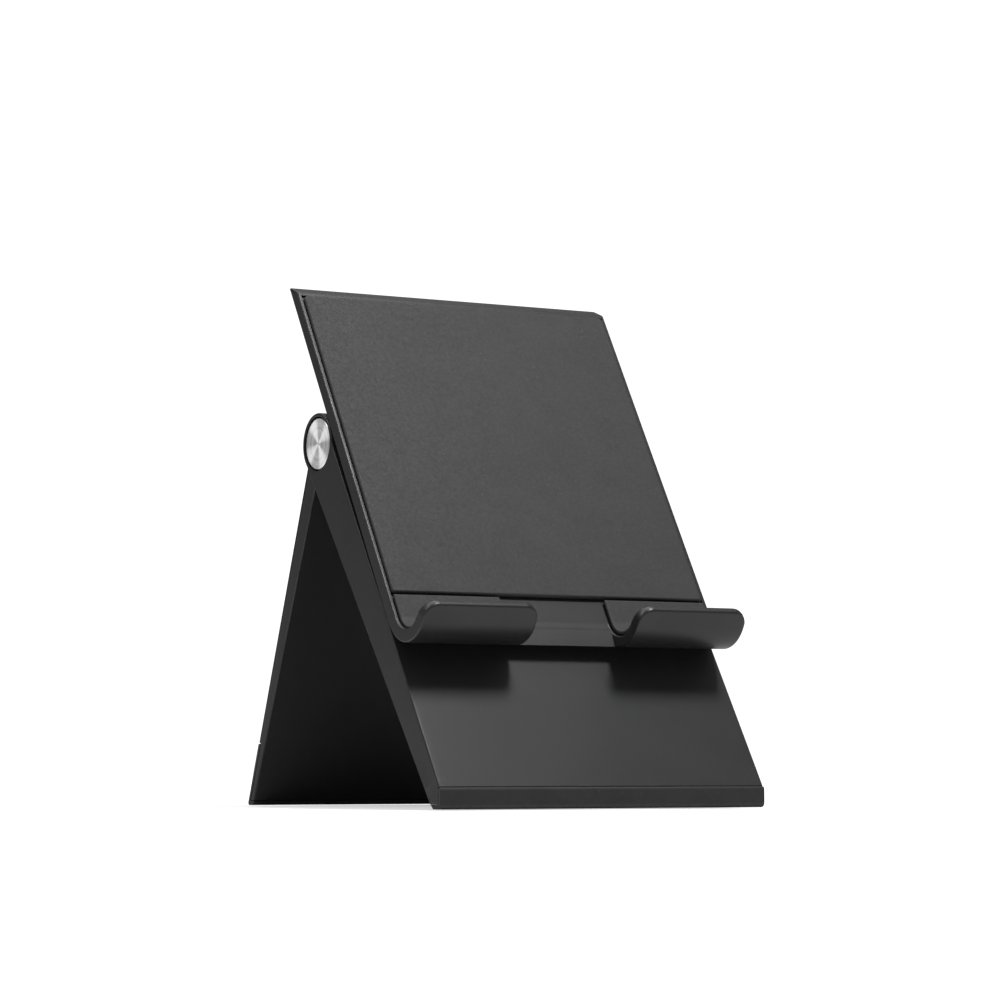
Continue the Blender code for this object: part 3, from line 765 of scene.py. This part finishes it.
def heel(height):
    """The cut runs straight from the rear edge down to the floor; this is its point at one height."""
    turn, wedge = np.radians(FRONT_LEAN), np.radians(WEDGE)
    drop = HEEL_HEIGHT - AXLE[1] - REAR_EDGE / np.cos(wedge) * np.sin(turn)
    z = drop / (np.cos(turn) + np.tan(wedge) * np.sin(turn))
    low, high = upright(HEEL_Y, 0.0, FRONT_LEAN), np.array([rear_edge(z), z])
    return low + (high - low) * height / HEEL_HEIGHT


def foot_corners():
    """The leg's foot, rebated for the strip: heel, sole, toe, and the step up to the face."""
    return [(*heel(HEEL_HEIGHT), 0.4), (*heel(SOLE), 0.06), (*upright(TOE + SOLE, SOLE, FRONT_LEAN), 0.3),
            (*above_toe(REBATE, TOE + SOLE), 0.3), (REBATE, STRIP_TOP + STRIP_GAP, 0.1),
            (FACE, STRIP_TOP + STRIP_GAP, 0.15)]


def seen_evenly(start, end, step=5.0):
    """Points of a straight line where rays from the axle meet it, about step degrees apart."""
    first, last = np.arctan2(start[1], start[0]), np.arctan2(end[1], end[0])
    sweep = (last - first + np.pi) % (2 * np.pi) - np.pi
    t = first + sweep * np.linspace(0.0, 1.0, int(np.ceil(np.degrees(abs(sweep)) / step)) + 1)
    run = np.subtract(end, start)
    reach = (start[0] * run[1] - start[1] * run[0]) / (np.cos(t) * run[1] - np.sin(t) * run[0])
    return np.stack([reach * np.cos(t), reach * np.sin(t), np.zeros_like(t)], -1)


def rays_to(side):
    """Unit vectors from the axle towards each point of a side view."""
    angle = np.arctan2(side[:, 1], side[:, 0])
    return np.stack([np.cos(angle), np.sin(angle)], -1)


def circles(rays, stations):
    """Round rings with one set of directions from the axle; a station is (x, radius)."""
    x, radius = np.array(stations).T
    return with_x(radius[:, None, None] * rays, x, 0.0)


def cheek_outline():
    """Down the rear edge, across the cut, up the face and over the head; True marks the points of the cut."""
    front_turn = 180.0 + np.degrees(np.arccos(-FACE / HEAD))
    rear_turn = -(WEDGE + np.degrees(np.arccos(REAR_EDGE / HEAD)))
    start = arc((0.0, 0.0), HEAD, rear_turn, rear_turn, 1)[0, :2]
    rear = seen_evenly(start, (rear_edge(CUT), CUT))[1:-1]
    across = seen_evenly((rear_edge(CUT), CUT), (FACE, CUT), 1.5)
    face = seen_evenly((FACE, CUT), (FACE, -5.2))[1:]
    head = arc((0.0, 0.0), HEAD, front_turn - 4.0, rear_turn, 44)
    side = np.concatenate([rear, across, face, head])
    at = np.arange(len(side))
    return side, (at >= len(rear)) & (at < len(rear) + len(across))


def drawn_in(side, depth, at_cut):
    """Insets a side view, but keeps its cut in line: there only the two ends move, towards each other."""
    points = inset(side, depth * ~at_cut)
    ends = np.flatnonzero(at_cut)[[0, -1]]
    inwards = np.where(side[ends, 0] < side[ends, 0].mean(), 1.0, -1.0)
    points[:, ends, 0] += inwards * depth[:, ends]
    return points


def cheek_rings(side):
    """The cheek's looped surface, all on one set of rays: circles round the axle and drawn-in outlines."""
    edge_line, at_cut = cheek_outline()
    rays = rays_to(edge_line)
    inner = [(BOSS_FROM, BORE), (BOSS_FROM, BOSS - 0.3), (BOSS_FROM + 0.1, BOSS - 0.1),
             (BOSS_FROM + 0.3, BOSS), (CHEEK_IN, BOSS)]
    outer = [(CHEEK_OUT, SEAT + 0.15), (CHEEK_OUT - 0.05, SEAT + 0.04), (CHEEK_OUT - 0.15, SEAT),
             (SEAT_FLOOR, SEAT), (SEAT_FLOOR, POCKET), (POCKET_FLOOR, POCKET), (POCKET_FLOOR, BORE)]
    # the inner edge is bare, and so rounded, only behind the front wall and below the head
    bare = fade_in(edge_line[:, 0], 1.0, 2.0) * fade_in(-edge_line[:, 1], 9.0, 6.0)
    depth, moved, exposed = quarter(EDGE)
    within, without = depth[:, None] * bare, np.repeat(depth[::-1, None], len(bare), 1)
    wear = np.maximum(exposed[:, None] * bare, edge_line[:, 2])
    loop = np.concatenate([
        circles(rays, inner),
        with_x(drawn_in(edge_line, within, at_cut), CHEEK_IN + moved, wear),
        with_x(drawn_in(edge_line, without, at_cut), CHEEK_OUT - moved[::-1],
               np.maximum(exposed[::-1, None], edge_line[:, 2])),
        circles(rays, outer)])
    return on_side(loop, side)


def tray_outline():
    """The front wall and the foot block between the cheeks."""
    inside = FACE + WALL
    return outline((FACE, WALL_TOP, 0.6), *foot_corners()[::-1], (rear_edge(TRAY_FOOT), TRAY_FOOT, 0.5),
                   (inside, TRAY_FOOT, 0.7), (inside, WALL_TOP, 0.5))


def foot_end_rings(side):
    """The foot below a cheek: it butts against the foot block inside, and its outer edge is rounded."""
    foot = outline(*foot_corners(), np.array([[FACE, CUT, 1.0], [rear_edge(CUT), CUT, 1.0]]))
    at = np.arange(len(foot))
    in_rebate = (at >= CORNER_STEPS + 1) & (at < 5 * (CORNER_STEPS + 1))     # the second to the fifth corner
    depth, moved, exposed = (values[::-1] for values in quarter(EDGE))
    points = drawn_in(foot, depth[:, None] * ~in_rebate, at >= len(foot) - 2)
    outer = with_x(points, CHEEK_OUT - moved, np.maximum(foot[:, 2], exposed[:, None]))
    inner = with_x(foot, [CHEEK_IN], foot[:, 2])
    return on_side(np.concatenate([inner, outer]), side)


def rib_rings(x):
    """A low moulded rib on the inside of the front wall."""
    inside = FACE + WALL
    side = outline((inside - 0.5, WALL_TOP - 3.0, 0.2), (inside - 0.5, TRAY_FOOT - 0.5, 0.2),
                   (inside + 1.4, TRAY_FOOT - 0.5, 0.3), (inside + 1.4, WALL_TOP - 5.0, 0.4))
    return carried(side, x - 0.5, x + 0.5, 0.25)


# %% Build the front leg
RIBS = (-24.0, 0.0, 24.0)
leg_shells = [(cheek_rings(side), True) for side in SIDES.values()]
leg_shells += [(foot_end_rings(side), False) for side in SIDES.values()]
leg_shells.append((plain_rings(tray_outline(), -CHEEK_IN, CHEEK_IN), False))
leg_shells += [(rib_rings(x), False) for x in RIBS]
build("front_leg_shell", "front_leg_body", "shell_plastic", FRONT_LEAN, leg_shells, "front_leg")


# %% [markdown]
# ## The rubber strip under the front foot
#
# The strip is moulded to a U that wraps the toe: a short flange on the face, an upright nose with a rounded
# lower edge, and a sole. It is flush with the leg's sides and a hair proud of its face.

# %% Front foot strip
STRIP_THICK, STRIP_PROUD, STRIP_ROLL = 0.9, 0.1, 0.15
STRIP_REACH = reach_of("front_foot_strip")


def front_strip_outline():
    """From the flange's top down the nose, along the sole, and back inside."""
    proud, inside, toe = FACE - STRIP_PROUD, FACE + STRIP_THICK, TOE + STRIP_THICK
    return outline((proud, STRIP_TOP, 0.25), (*above_toe(proud, TOE), 1.2),
                   (*upright(TOE, 0.0, FRONT_LEAN), 1.05), (*heel(0.0), 0.3), (*heel(STRIP_THICK), 0.06),
                   (*upright(toe, STRIP_THICK, FRONT_LEAN), 0.3), (*above_toe(inside, toe), 0.3),
                   (inside, STRIP_TOP, 0.2))


front_strip = carried(front_strip_outline(), -STRIP_REACH, STRIP_REACH, STRIP_ROLL)
build("front_foot_rubber", "front_leg_body", "foot_rubber", FRONT_LEAN, [(front_strip, False)],
      "front_foot_strip")


# %% [markdown]
# ## The rear leg
#
# The rear leg is a tapered panel. Its top is hollowed to clear the bosses of the front leg, deeper in the
# middle where the cradle's brackets turn, and two ears carry it on the axle. The hollow is an arc round the
# axle whose radius changes from ring to ring. The ears are looped surfaces like the cheeks, sunk into the
# panel.

# %% Sizes of the rear leg
REAR_REACH = reach_of("rear_leg")
REAR_OUT, REAR_IN_TOP, REAR_IN_FOOT = 6.4, 1.3, 4.1
BOSS_CLEAR, LUG_CLEAR = 6.9, 9.0
EAR, EAR_IN, EAR_OUT, EAR_BORE = 5.0, 24.0, 30.3, 3.3
EAR_FRONT, EAR_BACK, EAR_FOOT = 1.9, 5.9, -14.0      # the ear's web, sunk into the panel
REAR_STRIP_OUT, REAR_STRIP_TOP = 6.6, 13.5


def hollow(radius):
    """The arc round the axle between the panel's inner and outer faces."""
    slope = (REAR_IN_FOOT - REAR_IN_TOP) / at_height(REAR_IN_FOOT, SOLE, REAR_LEAN)[1]
    inner = REAR_IN_TOP - slope * radius * 0.98
    first = -np.degrees(np.arccos(inner / radius))
    last = -np.degrees(np.arccos((REAR_OUT - 0.3) / radius))
    return arc((0.0, 0.0), radius, first, last, 14)


def panel_outline(radius, shoulder):
    """Outer face, strip's rebate, foot, inner face and hollow; the outer face ends at the shoulder."""
    rebate = REAR_STRIP_OUT - STRIP_THICK - 0.05
    step = at_height(REAR_OUT, REAR_STRIP_TOP + STRIP_GAP, REAR_LEAN)[1]
    return outline((REAR_OUT, step, 0.15), (rebate, step, 0.15), (*at_height(rebate, SOLE, REAR_LEAN), 0.4),
                   (*at_height(REAR_IN_FOOT, SOLE, REAR_LEAN), 0.4), hollow(radius),
                   (REAR_OUT, shoulder, 0.25))


def panel_rings():
    """Rings whose hollow clears the bosses beside the ears and reaches deeper between them."""
    x, depth, exposed, between = stepped_ends(REAR_REACH, EAR_IN)
    deep, wide = panel_outline(LUG_CLEAR, -4.95), panel_outline(BOSS_CLEAR, -2.9)
    sides = np.where(between[:, None, None], deep, wide)
    return with_x(inset(sides, depth[:, None]), x, np.maximum(sides[..., 2], exposed[:, None]))


def ear_rings(side):
    """A looped ear: bore, inner face, rounded rim, outer face, and back to the bore."""
    over = arc((0.0, 0.0), EAR, 20.0, 215.0, 30)
    web = seen_evenly(over[-1, :2], (EAR_FRONT, EAR_FOOT), 12.0)[1:-1]
    front = seen_evenly((EAR_BACK, EAR_FOOT), over[0, :2], 12.0)[1:-1]
    rim = outline(over, web, (EAR_FRONT, EAR_FOOT, 0.4), (EAR_BACK, EAR_FOOT, 0.4), front)
    depth, moved, exposed = quarter(0.25)
    points, wear = inset(rim, depth[:, None]), exposed[:, None]
    loop = np.concatenate([
        circles(rays_to(rim), [(EAR_IN, EAR_BORE)]), with_x(points, EAR_IN + moved, wear),
        with_x(points, EAR_OUT - moved, wear)[::-1], circles(rays_to(rim), [(EAR_OUT, EAR_BORE)])])
    return on_side(loop, side)


# %% Build the rear leg and its strip
build("rear_leg_shell", "rear_leg_body", "shell_plastic", REAR_LEAN,
      [(panel_rings(), False), (ear_rings(-1.0), True), (ear_rings(1.0), True)], "rear_leg")


def rear_strip_outline():
    """A flat strip down the outer face that turns under the foot."""
    inner = REAR_STRIP_OUT - STRIP_THICK
    top = at_height(REAR_STRIP_OUT, REAR_STRIP_TOP, REAR_LEAN)[1]
    return outline((REAR_STRIP_OUT, top, 0.3), (*at_height(REAR_STRIP_OUT, 0.0, REAR_LEAN), 0.5),
                   (*at_height(REAR_IN_FOOT, 0.0, REAR_LEAN), 0.3),
                   (*at_height(REAR_IN_FOOT, STRIP_THICK, REAR_LEAN), 0.2),
                   (*at_height(inner, STRIP_THICK, REAR_LEAN), 0.3), (inner, top, 0.2))


rear_strip = carried(rear_strip_outline(), -REAR_REACH, REAR_REACH, STRIP_ROLL)
build("rear_foot_rubber", "rear_leg_body", "foot_rubber", REAR_LEAN, [(rear_strip, False)], "rear_foot_strip")


# %% [markdown]
# ## The spun discs
#
# A disc is a turned shape: a profile of distance along the axle and radius, spun all the way round. Its
# face is dished very slightly inside a chamfered rim, and sits a little below the cheek's face. Its UV map
# has the radius along U, because the bright bow tie of spun metal is a highlight stretched across the
# tool's rings, and the shader needs to know which way that is. The bow tie is also a painted highlight:
# four pale sectors are painted into the disc's colour.

# %% Cap discs
CHAMFER, RIM, DISH = 0.22, 0.5, 0.10     # edge radius, where the raised rim begins, depth of the dish
SPIN_STEPS = 96


def disc_profile():
    """Points (out along the axle, radius, edge): back, wall, chamfer, raised rim, and dish to the centre."""
    box_low, box_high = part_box("cap_disc_right")
    low, high, radius = box_low.x / MM, box_high.x / MM, (box_high.z - box_low.z) / MM / 2
    t = np.radians(np.linspace(0.0, 90.0, 5))
    back = np.stack([np.full(3, low), [0.05, radius * 0.6, radius - 0.25], np.zeros(3)], -1)
    wall = np.array([[low + 0.2, radius, 0.0]])
    turn = [high - CHAMFER * (1 - np.sin(t)), radius - CHAMFER * (1 - np.cos(t)), np.sin(2 * t)]
    rim = np.array([[high, radius - RIM, 0.6], [high - 0.02, radius - RIM - 0.18, 0.2]])
    share = np.linspace(0.0, 1.0, 26)[1:]
    face = (radius - RIM - 0.25) * (1 - share) + 0.05 * share
    dish = np.stack([high - DISH + DISH / 2 * (face / radius) ** 2, face, np.zeros(25)], -1)
    return np.concatenate([back, wall, np.stack(turn, -1), rim, dish])


def disc_rings(side):
    """Spins the profile: y = r cos t, z = r sin t. The axle's place is added later, as for every piece."""
    out, radius, edge = disc_profile().T[:, :, None]
    t = np.linspace(0.0, 2 * np.pi, SPIN_STEPS, endpoint=False)
    rings = np.broadcast_arrays(out, radius * np.cos(t), radius * np.sin(t), edge)
    return on_side(np.stack(rings, -1), side)


def map_round_axle(piece):
    """A UV map with the radius along U and the angle round the axle along V."""
    mesh = piece.data
    corner = np.zeros(len(mesh.loops), np.int32)
    mesh.loops.foreach_get("vertex_index", corner)
    place = np.zeros(len(mesh.vertices) * 3)
    mesh.vertices.foreach_get("co", place)
    y, z = (place.reshape(-1, 3)[corner, 1:] / MM - AXLE).T
    turn = np.arctan2(z, y) / (2 * np.pi) % 1.0
    start = np.zeros(len(mesh.polygons), np.int32)
    mesh.polygons.foreach_get("loop_start", start)
    face_of = np.searchsorted(start, np.arange(len(corner)), side="right") - 1
    turn = turn + np.round(turn[start][face_of] - turn)     # no face straddles the seam
    uv = np.stack([np.hypot(y, z) / 6.0, turn], -1)
    mesh.uv_layers.new(name="round_axle").data.foreach_set("uv", uv.astype(np.float32).ravel())


for label, side in SIDES.items():
    disc = build(f"cap_disc_{label}_spun", "front_leg_body", "cap_aluminium", 0.0,
                 [(disc_rings(side), False)], f"cap_disc_{label}")
    map_round_axle(disc)


# %% [markdown]
# ## The hinge hardware
#
# Everything on the axle behind the discs, and the brackets behind the plate, has its true shape in the
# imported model. Those pieces stay as they are and take the finish of their material slot.

# %% Finishes for the carried-over pieces
HARDWARE = {"hinge_steel": ("hinge_axle", "lock_nut", "flat_washer", "wave_washer", "bracket_screw"),
            "hinge_nylon": ("axle_sleeve", "friction_bush", "friction_shim"),
            "bracket_zinc": ("hinge_bracket",)}
for name, node in frame["nodes"].items():
    for finish, pieces in HARDWARE.items():
        if name.startswith(pieces):
            node.material_slots[0].material = FINISH[finish]
            print(f"{name} keeps its mesh, finished in {finish}")


# %% [markdown]
# ## Floor, light and camera
#
# The floor and the room are what black plastic reflects, so there is white all round it. The world is
# plain, and dimmer to the object than to the camera. The paper glows for the camera alone, more so away
# from the stand, as overexposed paper does. Three lights hang above: a small one in front, which draws the
# shadow under the hook, a wide one straight over the stand, and one on the left. A fourth, the white card
# that a studio holds up to bright metal, is linked to the discs only. The camera has a long lens and stands
# just above the floor.

# %% Floor
FLOOR_GLOW, GLOW_FROM, GLOW_TO = 0.45, 0.15, 0.8      # at the stand; metres over which it grows to 1
PAPER_REACH, PAPER_DROP = 4.0, 0.0002
floor_mesh = bpy.data.meshes.new("floor")
corners = np.array([(-1, -1, 0), (1, -1, 0), (1, 1, 0), (-1, 1, 0)]) * PAPER_REACH
floor_mesh.from_pydata(corners.tolist(), [], [(0, 1, 2, 3)])
floor = bpy.data.objects.new("floor", floor_mesh)
floor.location.z = -PAPER_DROP
bpy.context.scene.collection.objects.link(floor)
paper, shader, place = new_material("pale_paper")
tone = spread(noise(place, 14.0, 3.0), 0.3, 0.7, 0.0, 1.0)
coat(shader, two_tone(tone, (0.86, 0.86, 0.86), (0.89, 0.89, 0.89)), 0.35,
     Emission_Color=(1.0, 1.0, 1.0, 1.0))
seen = node_by(place, "LightPath").outputs["Is Camera Ray"]
away = node_by(place, "VectorMath")
away.operation = "LENGTH"
feed(place, away.inputs[0])
glow = spread(away.outputs["Value"], GLOW_FROM, GLOW_TO, FLOOR_GLOW, 1.0)
feed(maths("MULTIPLY", seen, glow), shader.inputs["Emission Strength"])
floor_mesh.materials.append(paper)

# %% World
ROOM_LIGHT, ROOM_SEEN = 0.24, 1.15     # strength for the object, and for the camera
world = bpy.data.worlds.new("studio")
world.use_nodes = True
bpy.context.scene.world = world
nodes, links = world.node_tree.nodes, world.node_tree.links
backdrop, strength = nodes["Background"], nodes.new("ShaderNodeMapRange")
backdrop.inputs["Color"].default_value = (1.0, 1.0, 1.0, 1.0)
strength.inputs["To Min"].default_value, strength.inputs["To Max"].default_value = ROOM_LIGHT, ROOM_SEEN
links.new(nodes.new("ShaderNodeLightPath").outputs["Is Camera Ray"], strength.inputs["Value"])
links.new(strength.outputs["Result"], backdrop.inputs["Strength"])


# %% Lights
def soft_light(name, place, target, size, power):
    """A square area light that faces a point."""
    data = bpy.data.lights.new(name, "AREA")
    data.shape, data.size, data.energy = "SQUARE", size, power
    light = bpy.data.objects.new(name, data)
    light.location = place
    light.rotation_euler = (Vector(target) - Vector(place)).to_track_quat("-Z", "Y").to_euler()
    bpy.context.scene.collection.objects.link(light)
    return light


MIDDLE = (0.0, 0.0, 0.055)
soft_light("key", (0.2, -0.42, 1.05), MIDDLE, 0.22, 9.0)
soft_light("overhead", (0.0, 0.25, 1.1), MIDDLE, 0.9, 6.0)
soft_light("left", (-0.75, 0.15, 0.95), MIDDLE, 0.5, 3.5)
card = soft_light("card_for_discs", (-0.60, 0.85, 0.30), MIDDLE, 0.7, 1.0)
discs = bpy.data.collections.new("discs")
for label in SIDES:
    discs.objects.link(bpy.data.objects[f"cap_disc_{label}_spun"])
card.light_linking.receiver_collection = discs

# %% Camera
CAMERA_AT = Vector((-0.3718, -0.63484, 0.00876))
CAMERA_LOOKS = Vector((0.5052, 0.8595, 0.0771))
camera_data = bpy.data.cameras.new("camera")
camera_data.sensor_width, camera_data.lens = 36.0, 123.37
camera = bpy.data.objects.new("camera", camera_data)
camera.location = CAMERA_AT
camera.rotation_euler = CAMERA_LOOKS.to_track_quat("-Z", "Y").to_euler()
bpy.context.scene.collection.objects.link(camera)
bpy.context.scene.camera = camera
bpy.context.scene.view_settings.view_transform = "Standard"
